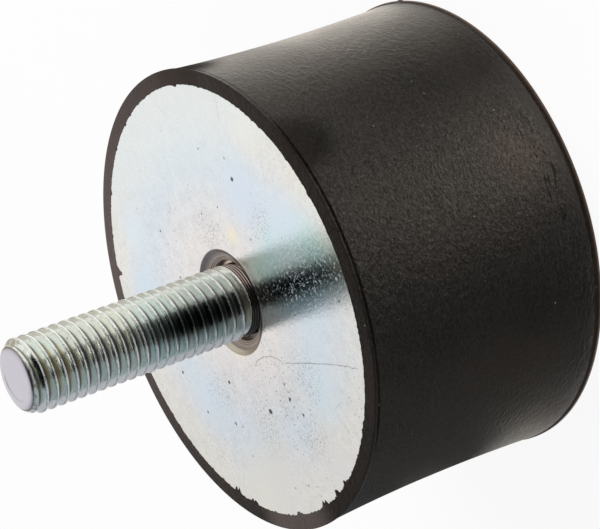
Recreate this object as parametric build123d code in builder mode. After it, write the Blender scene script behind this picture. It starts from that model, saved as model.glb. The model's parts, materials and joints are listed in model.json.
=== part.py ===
"""Bobbin vibration mount: a rubber block with a steel plate bonded into each end.

Frame: the mount stands on its back face at z = 0, its axis along +Z through the
origin, with the screw stud pointing up. All lengths are in millimetres.
"""

import os

from build123d import *

# Overall sizes
RIM_DIAMETER = 75.0          # over the moulded lips at the two ends
BODY_HEIGHT = 43.5           # from the back face to the front face
STUD_DIAMETER = 12.0         # M12 screw thread, over the crests
STUD_LENGTH = 38.5           # how far the stud stands out of the front face

# Rubber block
LIP_HEIGHT = 0.45            # height of the thin lip at each end
LIP_STEP = 0.2               # how far a lip stands out from the end of the side wall
LIP_CHAMFER = 0.12           # softened corner of a lip at the end face
GROOVE_WIDTH = 0.5           # groove that the mould leaves behind each lip
GROOVE_DEPTH = 0.4           # depth of that groove below the end of the side wall
GROOVE_RAMP = 0.15           # height over which the groove runs out to the side wall
WAIST_DEPTH = 0.6            # how far the side wall draws in at half height
RING_WIDTH = 2.45            # rubber left round the edge of each plate

# Steel plates, one in each end face
PLATE_THICKNESS = 3.0
PLATE_EDGE_CHAMFER = 0.5     # broken edge of the stamped disc, on its inner face

# Countersunk recess in the front plate, round the stud
RECESS_WIDTH = 2.65          # from the thread crests out to the mouth
RECESS_WALL_WIDTH = 0.6      # width of the steep wall inside the mouth
RECESS_WALL_DEPTH = 0.55     # depth of that wall
RECESS_DEPTH = 1.15          # depth at the foot of the sloping floor
RECESS_MOUTH_CHAMFER = 0.15
RELIEF_CLEARANCE = 0.55      # open gap between the thread crests and the plate

# Stud, pressed through the front plate up to its head
PRESS_NECK_STEP = 0.3        # the neck is this much larger in radius than the thread
PRESS_NECK_HEIGHT = 1.0
THREAD_START_HEIGHT = 0.3    # the full thread starts this far above the front face
THREAD_DEPTH = 0.9           # from the crests down to the undercut below the thread
THREAD_RUNOUT = 0.9          # height of the cone between the undercut and the thread
HEAD_STEP = 3.8              # the head is this much larger in radius than the thread
HEAD_HEIGHT = 4.0
HEAD_CHAMFER = 0.6
TIP_CHAMFER = 1.4

# Threaded bush, pressed into the back plate up to its flange
BUSH_DIAMETER = 18.0
BUSH_FLANGE_STEP = 2.0       # the flange is this much larger in radius than the bush
BUSH_FLANGE_HEIGHT = 2.0
BUSH_CHAMFER = 1.0
BORE_DIAMETER = 10.2         # M12 screw thread, over the inner crests
BORE_DEPTH = 12.0            # full diameter of the blind bore reaches this deep
BORE_MOUTH_CHAMFER = 1.0
DRILL_POINT_DEPTH = 2.0      # cone left by the drill at the end of the bore
BUSH_END_THICKNESS = 1.5     # steel left beyond the drill point

# Radii that follow from the sizes above
rim_radius = RIM_DIAMETER / 2
side_radius = rim_radius - LIP_STEP
groove_radius = side_radius - GROOVE_DEPTH
waist_radius = side_radius - WAIST_DEPTH
plate_radius = rim_radius - RING_WIDTH
stud_radius = STUD_DIAMETER / 2
neck_radius = stud_radius + PRESS_NECK_STEP
undercut_radius = stud_radius - THREAD_DEPTH
head_radius = stud_radius + HEAD_STEP
relief_radius = stud_radius + RELIEF_CLEARANCE
mouth_radius = stud_radius + RECESS_WIDTH
floor_radius = mouth_radius - RECESS_WALL_WIDTH
bush_radius = BUSH_DIAMETER / 2
flange_radius = bush_radius + BUSH_FLANGE_STEP
bore_radius = BORE_DIAMETER / 2

# Levels along the axis that follow from the sizes above
front_plate_level = BODY_HEIGHT - PLATE_THICKNESS
head_level = front_plate_level - HEAD_HEIGHT
neck_top_level = front_plate_level + PRESS_NECK_HEIGHT
thread_start_level = BODY_HEIGHT + THREAD_START_HEIGHT
tip_level = BODY_HEIGHT + STUD_LENGTH
flange_top_level = PLATE_THICKNESS + BUSH_FLANGE_HEIGHT
drill_point_level = BORE_DEPTH + DRILL_POINT_DEPTH
bush_end_level = drill_point_level + BUSH_END_THICKNESS


def rim_points(end_level, inward):
    """Outline points of one end, from the axis out to the side wall; inward is +1 or -1."""
    lip_level = end_level + inward * LIP_HEIGHT
    groove_level = lip_level + inward * GROOVE_WIDTH
    return [
        (0, end_level),
        (rim_radius, end_level),
        (rim_radius, lip_level),
        (groove_radius, lip_level),
        (groove_radius, groove_level),
        (side_radius, groove_level + inward * GROOVE_RAMP),
    ]


# Front plate: a stamped disc, flush with the front face, with the stud's hole and recess
with BuildPart() as front_plate:
    with BuildSketch(Plane.XZ) as front_plate_section:
        with BuildLine():
            Polyline(
                (neck_radius, front_plate_level),
                (plate_radius, front_plate_level),
                (plate_radius, BODY_HEIGHT),
                (mouth_radius, BODY_HEIGHT),
                (floor_radius, BODY_HEIGHT - RECESS_WALL_DEPTH),
                (relief_radius, BODY_HEIGHT - RECESS_DEPTH),
                (relief_radius, neck_top_level),
                (neck_radius, neck_top_level),
                close=True,
            )
        make_face()
        inner_corners = front_plate_section.vertices().group_by(Axis.Y)[0].sort_by(Axis.X)
        chamfer(inner_corners[-1], length=PLATE_EDGE_CHAMFER)
        mouth_corners = front_plate_section.vertices().group_by(Axis.Y)[-1].sort_by(Axis.X)
        chamfer(mouth_corners[0], length=RECESS_MOUTH_CHAMFER)
    revolve(axis=Axis.Z)
front_plate.part.label = "front_plate"

# Front stud: head behind the plate, press neck in its hole, undercut, M12 shank and tip
with BuildPart() as front_stud:
    with BuildSketch(Plane.XZ) as stud_section:
        with BuildLine():
            Polyline(
                (0, head_level),
                (head_radius, head_level),
                (head_radius, front_plate_level),
                (neck_radius, front_plate_level),
                (neck_radius, neck_top_level),
                (undercut_radius, neck_top_level),
                (undercut_radius, thread_start_level - THREAD_RUNOUT),
                (stud_radius, thread_start_level),
                (stud_radius, tip_level - TIP_CHAMFER),
                (stud_radius - TIP_CHAMFER, tip_level),
                (0, tip_level),
                close=True,
            )
        make_face()
        head_corners = stud_section.vertices().group_by(Axis.X)[-1].sort_by(Axis.Y)
        chamfer(head_corners[0], length=HEAD_CHAMFER)
    revolve(axis=Axis.Z)
front_stud.part.label = "front_stud"

# Back plate: the same disc turned over, flush with the back face, round the bush
with BuildPart() as back_plate:
    with BuildSketch(Plane.XZ) as back_plate_section:
        with BuildLine():
            Polyline(
                (bush_radius, 0),
                (plate_radius, 0),
                (plate_radius, PLATE_THICKNESS),
                (bush_radius, PLATE_THICKNESS),
                close=True,
            )
        make_face()
        inner_corners = back_plate_section.vertices().group_by(Axis.Y)[-1].sort_by(Axis.X)
        chamfer(inner_corners[-1], length=PLATE_EDGE_CHAMFER)
    revolve(axis=Axis.Z)
back_plate.part.label = "back_plate"

# Back insert: a closed bush with a flange behind the plate and a blind M12 bore
with BuildPart() as back_insert:
    with BuildSketch(Plane.XZ) as bush_section:
        with BuildLine():
            Polyline(
                (bore_radius + BORE_MOUTH_CHAMFER, 0),
                (bush_radius, 0),
                (bush_radius, PLATE_THICKNESS),
                (flange_radius, PLATE_THICKNESS),
                (flange_radius, flange_top_level),
                (bush_radius, flange_top_level),
                (bush_radius, bush_end_level),
                (0, bush_end_level),
                (0, drill_point_level),
                (bore_radius, BORE_DEPTH),
                (bore_radius, BORE_MOUTH_CHAMFER),
                close=True,
            )
        make_face()
        closed_end_corners = bush_section.vertices().group_by(Axis.Y)[-1].sort_by(Axis.X)
        chamfer(closed_end_corners[-1], length=BUSH_CHAMFER)
    revolve(axis=Axis.Z)
back_insert.part.label = "back_insert"

# Rubber body: moulded round the plates, the head and the bush, with a lip at each end
with BuildPart() as rubber_body:
    with BuildSketch(Plane.XZ) as rubber_section:
        with BuildLine():
            back_end = Polyline(*rim_points(0, 1))
            front_end = Polyline(*rim_points(BODY_HEIGHT, -1))
            ThreePointArc(back_end @ 1, (waist_radius, BODY_HEIGHT / 2), front_end @ 1)
            Line(front_end @ 0, back_end @ 0)
        make_face()
        lip_corners = rubber_section.vertices().group_by(Axis.X)[-1].sort_by(Axis.Y)
        chamfer([lip_corners[0], lip_corners[-1]], length=LIP_CHAMFER)
    revolve(axis=Axis.Z)
    # Pocket for the front plate, with the stud's head below it
    with BuildSketch(Plane.XZ) as front_pocket_section:
        with BuildLine():
            Polyline(
                (0, head_level),
                (head_radius, head_level),
                (head_radius, front_plate_level),
                (plate_radius, front_plate_level),
                (plate_radius, BODY_HEIGHT),
                (0, BODY_HEIGHT),
                close=True,
            )
        make_face()
        plate_corners = front_pocket_section.vertices().group_by(Axis.Y)[1].sort_by(Axis.X)
        chamfer(plate_corners[-1], length=PLATE_EDGE_CHAMFER)
        head_corners = front_pocket_section.vertices().group_by(Axis.Y)[0].sort_by(Axis.X)
        chamfer(head_corners[-1], length=HEAD_CHAMFER)
    revolve(axis=Axis.Z, mode=Mode.SUBTRACT)
    # Pocket for the back plate, with the bush above it
    with BuildSketch(Plane.XZ) as back_pocket_section:
        with BuildLine():
            Polyline(
                (0, 0),
                (plate_radius, 0),
                (plate_radius, PLATE_THICKNESS),
                (flange_radius, PLATE_THICKNESS),
                (flange_radius, flange_top_level),
                (bush_radius, flange_top_level),
                (bush_radius, bush_end_level),
                (0, bush_end_level),
                close=True,
            )
        make_face()
        plate_corners = back_pocket_section.vertices().group_by(Axis.Y)[1].sort_by(Axis.X)
        chamfer(plate_corners[-1], length=PLATE_EDGE_CHAMFER)
        bush_corners = back_pocket_section.vertices().group_by(Axis.Y)[-1].sort_by(Axis.X)
        chamfer(bush_corners[-1], length=BUSH_CHAMFER)
    revolve(axis=Axis.Z, mode=Mode.SUBTRACT)
rubber_body.part.label = "rubber_body"

os.makedirs("parts", exist_ok=True)
export_step(front_plate.part, "parts/front_plate.step")
export_step(front_stud.part, "parts/front_stud.step")
export_step(back_plate.part, "parts/back_plate.step")
export_step(back_insert.part, "parts/back_insert.step")
export_step(rubber_body.part, "parts/rubber_body.step")
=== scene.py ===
"""Looks of a bobbin vibration mount, dressed over its solid model.

Everything is in metres, in the solid model's own frame: the mount stands on its back face at
z = 0, its axis is +Z, and the screw stud points up. The camera looks along +Y and down.
"""

import json
import logging
import math
from dataclasses import dataclass
from enum import Enum

import bmesh
import bpy
import numpy as np
from mathutils import Matrix, Vector, noise


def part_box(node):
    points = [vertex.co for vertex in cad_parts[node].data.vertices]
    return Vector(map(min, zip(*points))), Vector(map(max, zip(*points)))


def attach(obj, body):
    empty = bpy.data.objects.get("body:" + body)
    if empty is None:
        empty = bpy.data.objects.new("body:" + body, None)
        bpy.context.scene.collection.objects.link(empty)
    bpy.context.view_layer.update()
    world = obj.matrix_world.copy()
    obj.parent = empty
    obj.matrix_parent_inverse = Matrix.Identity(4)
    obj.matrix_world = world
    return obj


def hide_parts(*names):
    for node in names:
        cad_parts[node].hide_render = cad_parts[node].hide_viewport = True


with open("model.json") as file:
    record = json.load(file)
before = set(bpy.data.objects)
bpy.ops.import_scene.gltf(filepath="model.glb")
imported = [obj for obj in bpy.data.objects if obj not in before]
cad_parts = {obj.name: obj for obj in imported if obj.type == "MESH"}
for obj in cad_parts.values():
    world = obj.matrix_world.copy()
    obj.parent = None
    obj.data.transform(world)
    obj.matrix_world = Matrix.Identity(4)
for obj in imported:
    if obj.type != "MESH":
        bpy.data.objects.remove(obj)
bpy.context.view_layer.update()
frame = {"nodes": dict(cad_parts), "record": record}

MM = 0.001
BODY = "root"
SAME_POINT = 1e-7
EMPTY_EDGE = 1e-8
LONGEST_CUT = 0.45
log = logging.getLogger("bobbin_mount")

Colour = tuple[float, float, float]
Place = tuple[float, float, float]
Span = tuple[float, float]
Outline = list[Span]
Socket = bpy.types.NodeSocket


def mount_size(name: str, key: str) -> float:
    """Reads one stated dimension of a mount.

    Args:
        name: The mount's name in the record.
        key: The dimension's key, which ends in _mm.

    Returns:
        The dimension in metres.
    """
    mounts = {mount["name"]: mount for mount in frame["record"]["mounts"]}
    return mounts[name]["dims"][key] * MM


def node_radius(node: str) -> float:
    """Returns the outer radius of a round node, from its box."""
    low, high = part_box(node)
    return (high[0] - low[0]) / 2


def eased(share: np.ndarray) -> np.ndarray:
    """Eases shares from 0 to 1 in and out."""
    return share * share * (3 - 2 * share)


class Face(Enum):
    """Which way a ring surface is closed."""

    LOOP = "loop"
    OPEN = "open"


class Axis(Enum):
    """An axis of the mount's frame."""

    X = "X"
    Z = "Z"


class Blend(Enum):
    """How one colour is laid over another."""

    COVER = "MIX"
    DARKEN = "MULTIPLY"


class Operation(Enum):
    """What a material works out from two values."""

    ADD = "ADD"
    SUBTRACT = "SUBTRACT"
    MULTIPLY = "MULTIPLY"
    DIVIDE = "DIVIDE"
    MAXIMUM = "MAXIMUM"
    ABSOLUTE = "ABSOLUTE"
    GREATER_THAN = "GREATER_THAN"
    ARCTAN2 = "ARCTAN2"


class VectorOperation(Enum):
    """What a material works out from two vectors."""

    ADD = "ADD"
    SUBTRACT = "SUBTRACT"
    MULTIPLY = "MULTIPLY"
    DISTANCE = "DISTANCE"
    LENGTH = "LENGTH"


@dataclass(frozen=True)
class Corner:
    """A corner of a turned outline, with the radius that rounds it off."""

    radius: float
    level: float
    rounding: float = 0.0


def rounded_outline(corners: list[Corner], steps: int = 5) -> Outline:
    """Walks an outline and rounds its corners.

    Args:
        corners: The outline's corners in order.
        steps: How many points each rounded corner gets.

    Returns:
        The outline as (radius, level) pairs.
    """
    outline: Outline = []
    for index, corner in enumerate(corners):
        here = Vector((corner.radius, corner.level))
        if corner.rounding <= 0 or index in (0, len(corners) - 1):
            outline.append((here.x, here.y))
            continue
        before = Vector((corners[index - 1].radius, corners[index - 1].level)) - here
        after = Vector((corners[index + 1].radius, corners[index + 1].level)) - here
        reach = min(corner.rounding, before.length * LONGEST_CUT,
                    after.length * LONGEST_CUT)
        start = here + before.normalized() * reach
        end = here + after.normalized() * reach
        for step in range(steps):
            share = step / (steps - 1)
            point = start.lerp(here, share).lerp(here.lerp(end, share), share)
            outline.append((point.x, point.y))
    return outline


class RingSurface:
    """Rings with the same number of points round the axis, stitched into one skin."""

    def __init__(self, segments: int) -> None:
        """Starts an empty surface.

        Args:
            segments: How many points each ring has.
        """
        self.segments = segments
        self.angles = np.arange(segments) * (2 * math.pi / segments)
        self.rings: list[np.ndarray] = []

    def add(self, radius: np.ndarray | float, level: np.ndarray | float,
            centre: Span = (0.0, 0.0)) -> None:
        """Adds a ring.

        Args:
            radius: One radius, or one for each point.
            level: One height, or one for each point.
            centre: Where the ring's centre lies across the axis.
        """
        radii = np.broadcast_to(radius, self.angles.shape)
        levels = np.broadcast_to(level, self.angles.shape)
        across = centre[0] + radii * np.cos(self.angles)
        along = centre[1] + radii * np.sin(self.angles)
        self.rings.append(np.column_stack([across, along, levels]))

    def add_outline(self, outline: Outline) -> None:
        """Adds a plain round ring for each point of an outline."""
        for radius, level in outline:
            self.add(radius, level)

    def build(self, name: str, face: Face, twist: int = 0, sharp_degrees: float = 40.0
              ) -> bpy.types.Object:
        """Stitches the rings into a mesh object.

        Args:
            name: The new object's name.
            face: Whether the last ring joins the first.
            twist: By how many rings a row shifts where it closes round the axis.
            sharp_degrees: Edges that turn more than this stay crisp.

        Returns:
            The new object, already linked to the scene.
        """
        count, size = len(self.rings), self.segments
        points = np.vstack(self.rings)
        faces = []
        for ring in range(count if face is Face.LOOP else count - 1):
            following = (ring + 1) % count
            for turn in range(size):
                nearby = (turn + 1) % size
                shift = twist if nearby == 0 else 0
                upper, lower = following + shift, ring + shift
                if upper >= count or lower >= count:
                    continue
                faces.append((ring * size + turn, lower * size + nearby,
                              upper * size + nearby, following * size + turn))
        mesh = bpy.data.meshes.new(name)
        mesh.from_pydata(points.tolist(), [], faces)
        tidy_mesh(mesh)
        mesh.shade_smooth()
        mesh.set_sharp_from_angle(angle=math.radians(sharp_degrees))
        piece = bpy.data.objects.new(name, mesh)
        bpy.context.scene.collection.objects.link(piece)
        return piece


def tidy_mesh(mesh: bpy.types.Mesh) -> None:
    """Merges points that lie together, drops empty faces and turns every face outwards.

    Args:
        mesh: The mesh that is tidied in place.
    """
    work = bmesh.new()
    work.from_mesh(mesh)
    bmesh.ops.remove_doubles(work, verts=work.verts, dist=SAME_POINT)
    bmesh.ops.dissolve_degenerate(work, edges=work.edges, dist=EMPTY_EDGE)
    loose = [vertex for vertex in work.verts if not vertex.link_faces]
    bmesh.ops.delete(work, geom=loose, context="VERTS")
    bmesh.ops.recalc_face_normals(work, faces=work.faces)
    work.to_mesh(mesh)
    work.free()


class Graph:
    """A material's node tree while it is being wired."""

    def __init__(self, name: str) -> None:
        """Makes an empty material whose output is a principled shader.

        Args:
            name: The material's name.
        """
        self.material = bpy.data.materials.new(name)
        self.material.use_nodes = True
        self.tree = self.material.node_tree
        self.tree.nodes.clear()
        self.output = self.node("ShaderNodeOutputMaterial")
        self.shader = self.node("ShaderNodeBsdfPrincipled")
        self.join(self.shader.outputs["BSDF"], self.output.inputs["Surface"])
        self.place = self.node("ShaderNodeTexCoord").outputs["Object"]

    def node(self, kind: str) -> bpy.types.Node:
        """Adds a node of that kind."""
        return self.tree.nodes.new(kind)

    def join(self, source: Socket, target: Socket) -> None:
        """Links an output to an input."""
        self.tree.links.new(source, target)

    def set(self, name: str, value: float | tuple[float, ...]) -> None:
        """Sets a constant on the shader's own socket."""
        self.shader.inputs[name].default_value = value

    def feed(self, name: str, source: Socket) -> None:
        """Links a socket to one of the shader's inputs."""
        self.join(source, self.shader.inputs[name])

    def math(self, operation: Operation, first: Socket, second: Socket | float) -> Socket:
        """Combines two values.

        Args:
            operation: How they are combined.
            first: The first value.
            second: The second value, or a number.

        Returns:
            The result's socket.
        """
        node = self.node("ShaderNodeMath")
        node.operation = operation.value
        self.join(first, node.inputs[0])
        if isinstance(second, (int, float)):
            node.inputs[1].default_value = second
        else:
            self.join(second, node.inputs[1])
        return node.outputs[0]

    def times(self, first: Socket, *others: Socket | float) -> Socket:
        """Multiplies values.

        Args:
            first: The first value.
            others: The values or numbers that it is multiplied by, in order.

        Returns:
            The product's socket.
        """
        product = first
        for other in others:
            product = self.math(Operation.MULTIPLY, product, other)
        return product

    def plus(self, first: Socket, second: Socket | float) -> Socket:
        """Adds two values."""
        return self.math(Operation.ADD, first, second)

    def minus(self, first: Socket, second: Socket | float) -> Socket:
        """Takes the second value from the first."""
        return self.math(Operation.SUBTRACT, first, second)

    def most(self, first: Socket, second: Socket | float) -> Socket:
        """Returns the larger of two values."""
        return self.math(Operation.MAXIMUM, first, second)

    def size(self, value: Socket) -> Socket:
        """Returns a value without its sign."""
        return self.math(Operation.ABSOLUTE, value, 0.0)

    def vector(self, operation: VectorOperation, first: Socket, second: Socket | Place
               ) -> bpy.types.Node:
        """Combines two vectors.

        Args:
            operation: How they are combined.
            first: The first vector.
            second: The second vector.

        Returns:
            The node that combines them.
        """
        node = self.node("ShaderNodeVectorMath")
        node.operation = operation.value
        self.join(first, node.inputs[0])
        if isinstance(second, tuple):
            node.inputs[1].default_value = second
        else:
            self.join(second, node.inputs[1])
        return node

    def band(self, value: Socket, low: float, high: float, start: float = 0.0,
             end: float = 1.0) -> Socket:
        """Maps low..high of a value smoothly to start..end.

        Args:
            value: The socket to map.
            low: Value that gives start.
            high: Value that gives end.
            start: Result at low.
            end: Result at high.

        Returns:
            The mapped value's socket.
        """
        mapped = self.node("ShaderNodeMapRange")
        mapped.interpolation_type = "SMOOTHSTEP"
        mapped.inputs["From Min"].default_value = low
        mapped.inputs["From Max"].default_value = high
        mapped.inputs["To Min"].default_value = start
        mapped.inputs["To Max"].default_value = end
        self.join(value, mapped.inputs["Value"])
        return mapped.outputs["Result"]

    def ramp(self, value: Socket, stops: list[tuple[float, Colour]]) -> Socket:
        """Turns a value into a colour.

        Args:
            value: The socket that drives the ramp.
            stops: Positions with their colours, in order.

        Returns:
            The colour socket.
        """
        ramp = self.node("ShaderNodeValToRGB")
        elements = ramp.color_ramp.elements
        while len(elements) < len(stops):
            elements.new(0.5)
        for element, (position, colour) in zip(elements, stops):
            element.position = position
            element.color = (*colour, 1.0)
        self.join(value, ramp.inputs["Fac"])
        return ramp.outputs["Color"]

    def mix(self, share: Socket, under: Socket | Colour, over: Socket | Colour,
            blend: Blend = Blend.COVER) -> Socket:
        """Lays one colour over another.

        Args:
            share: How much of the upper colour shows.
            under: The lower colour.
            over: The upper colour.
            blend: How they mix.

        Returns:
            The mixed colour's socket.
        """
        node = self.node("ShaderNodeMix")
        node.data_type = "RGBA"
        node.blend_type = blend.value
        self.join(share, node.inputs["Factor"])
        for colour, key in ((under, "A_Color"), (over, "B_Color")):
            socket = next(item for item in node.inputs if item.identifier == key)
            if isinstance(colour, tuple):
                socket.default_value = (*colour, 1.0)
            else:
                self.join(colour, socket)
        return next(item for item in node.outputs if item.identifier == "Result_Color")

    def bump(self, height: Socket, depth: float, under: Socket | None = None) -> Socket:
        """Adds relief.

        Args:
            height: The relief's height from 0 to 1.
            depth: How deep that relief is, in metres.
            under: Normal of a coarser relief below it.

        Returns:
            The normal's socket.
        """
        node = self.node("ShaderNodeBump")
        node.inputs["Strength"].default_value = 1.0
        node.inputs["Distance"].default_value = depth
        self.join(height, node.inputs["Height"])
        if under is not None:
            self.join(under, node.inputs["Normal"])
        return node.outputs["Normal"]

    def noise(self, scale: float, detail: float = 4.0, roughness: float = 0.55,
              place: Socket | None = None, warp: float = 0.0) -> Socket:
        """Adds a soft noise and returns its value from 0 to 1.

        Args:
            scale: Features for each metre.
            detail: Octaves.
            roughness: How strong the finer octaves are.
            place: Coordinates, if not the object's own.
            warp: Distortion.

        Returns:
            The noise's value socket.
        """
        texture = self.node("ShaderNodeTexNoise")
        texture.inputs["Scale"].default_value = scale
        texture.inputs["Detail"].default_value = detail
        texture.inputs["Roughness"].default_value = roughness
        texture.inputs["Distortion"].default_value = warp
        self.join(place or self.place, texture.inputs["Vector"])
        return texture.outputs["Fac"]

    def specks(self, scale: float, size: float, share: float) -> Socket:
        """Scatters small round specks.

        Args:
            scale: Cells for each metre.
            size: A speck's radius as a share of a cell.
            share: Part of the cells that hold a speck.

        Returns:
            A value that is 1 on a speck and 0 elsewhere.
        """
        cells = self.node("ShaderNodeTexVoronoi")
        cells.inputs["Scale"].default_value = scale
        self.join(self.place, cells.inputs["Vector"])
        near = self.band(cells.outputs["Distance"], size * 0.5, size, 1.0, 0.0)
        split = self.node("ShaderNodeSeparateColor")
        self.join(cells.outputs["Color"], split.inputs["Color"])
        chosen = self.math(Operation.GREATER_THAN, split.outputs["Red"], 1.0 - share)
        return self.times(near, chosen)

    def stretched(self, scale: Place, turn: float = 0.0) -> Socket:
        """Returns the object's coordinates turned about the axis and stretched.

        Args:
            scale: Factor along each axis.
            turn: Angle about the axis, in degrees, before the stretch.

        Returns:
            The socket with the new coordinates.
        """
        turned = self.node("ShaderNodeMapping")
        turned.vector_type = "POINT"
        turned.inputs["Rotation"].default_value = (0.0, 0.0, math.radians(turn))
        self.join(self.place, turned.inputs["Vector"])
        scaled = self.node("ShaderNodeMapping")
        scaled.inputs["Scale"].default_value = scale
        self.join(turned.outputs["Vector"], scaled.inputs["Vector"])
        return scaled.outputs["Vector"]

    def warped(self, scale: float, reach: float) -> Socket:
        """Returns the object's coordinates pushed about across the axis.

        Args:
            scale: Waves for each metre.
            reach: How far they are pushed at most, in metres.

        Returns:
            The socket with the new coordinates.
        """
        texture = self.node("ShaderNodeTexNoise")
        texture.inputs["Scale"].default_value = scale
        texture.inputs["Detail"].default_value = 3.0
        self.join(self.place, texture.inputs["Vector"])
        centred = self.vector(VectorOperation.SUBTRACT, texture.outputs["Color"],
                              (0.5, 0.5, 0.5))
        pushed = self.vector(VectorOperation.MULTIPLY, centred.outputs["Vector"],
                             (2 * reach, 2 * reach, 0.0))
        moved = self.vector(VectorOperation.ADD, pushed.outputs["Vector"], self.place)
        return moved.outputs["Vector"]

    def across(self) -> Socket:
        """Returns the object's coordinates with the height left out."""
        flat = self.vector(VectorOperation.MULTIPLY, self.place, (1.0, 1.0, 0.0))
        return flat.outputs["Vector"]

    def off_axis(self, place: Socket | None = None) -> Socket:
        """Returns the distance from the mount's axis, in metres.

        Args:
            place: Coordinates, if not the object's own.

        Returns:
            The distance's socket.
        """
        flat = self.vector(VectorOperation.MULTIPLY, place or self.place, (1.0, 1.0, 0.0))
        length = self.vector(VectorOperation.LENGTH, flat.outputs["Vector"],
                             (0.0, 0.0, 0.0))
        return length.outputs["Value"]

    def along(self, axis: Axis) -> Socket:
        """Returns the place along one of the axes, in metres.

        Args:
            axis: The axis.

        Returns:
            The place's socket.
        """
        split = self.node("ShaderNodeSeparateXYZ")
        self.join(self.place, split.inputs["Vector"])
        return split.outputs[axis.value]

    def away(self, spot: Place, place: Socket | None = None) -> Socket:
        """Returns the distance from a spot, in metres.

        Args:
            spot: The spot in the object's coordinates.
            place: Coordinates, if not the object's own.

        Returns:
            The distance's socket.
        """
        apart = self.vector(VectorOperation.DISTANCE, place or self.place, spot)
        return apart.outputs["Value"]

    def patch(self, spot: Place, inner: float, outer: float, place: Socket | None = None
              ) -> Socket:
        """Returns 1 within the inner radius of a spot and 0 beyond the outer one.

        Args:
            spot: The spot in the object's coordinates.
            inner: Radius where it starts to fade.
            outer: Radius where it has gone.
            place: Coordinates, if not the object's own.

        Returns:
            The patch's socket.
        """
        return self.band(self.away(spot, place), inner, outer, 1.0, 0.0)


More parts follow.
